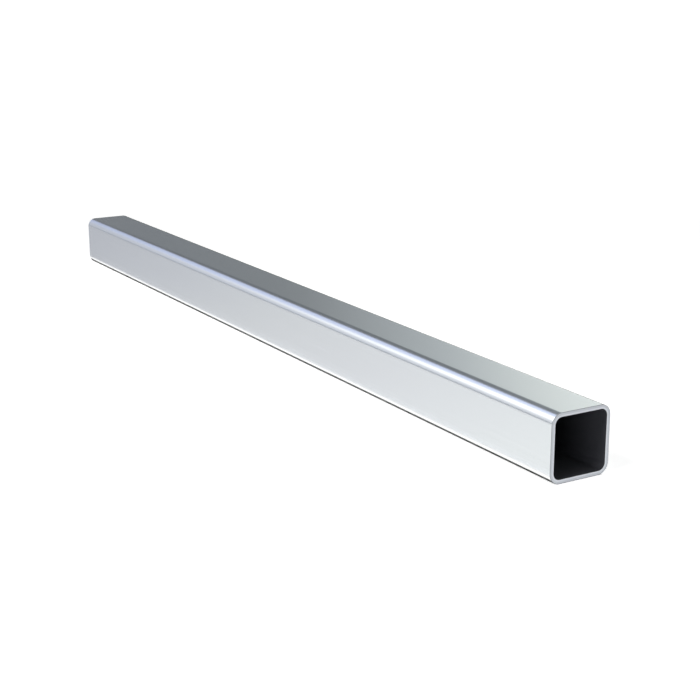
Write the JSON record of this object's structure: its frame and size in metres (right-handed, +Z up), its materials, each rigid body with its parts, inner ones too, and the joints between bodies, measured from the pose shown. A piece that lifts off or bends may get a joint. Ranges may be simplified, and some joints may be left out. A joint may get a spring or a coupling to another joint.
{
  "type": "square extension tube",
  "caption": "Straight square hollow-section steel tube with rounded long corners, open through and cut square at both ends.",
  "frame": {"origin": "middle of the flat underside, halfway between the two cut ends", "axes": "+X along the tube towards the end that faces the camera in the picture, +Z up, +Y across"},
  "size_m": [0.5, 0.03, 0.03],
  "materials": {
    "satin_steel": "smooth satin bright metal outside, fine sawn grey on the cut ends, darker unpolished metal inside the bore"
  },
  "bodies": {
    "root": {"tube": "satin_steel"}
  },
  "joints": []
}
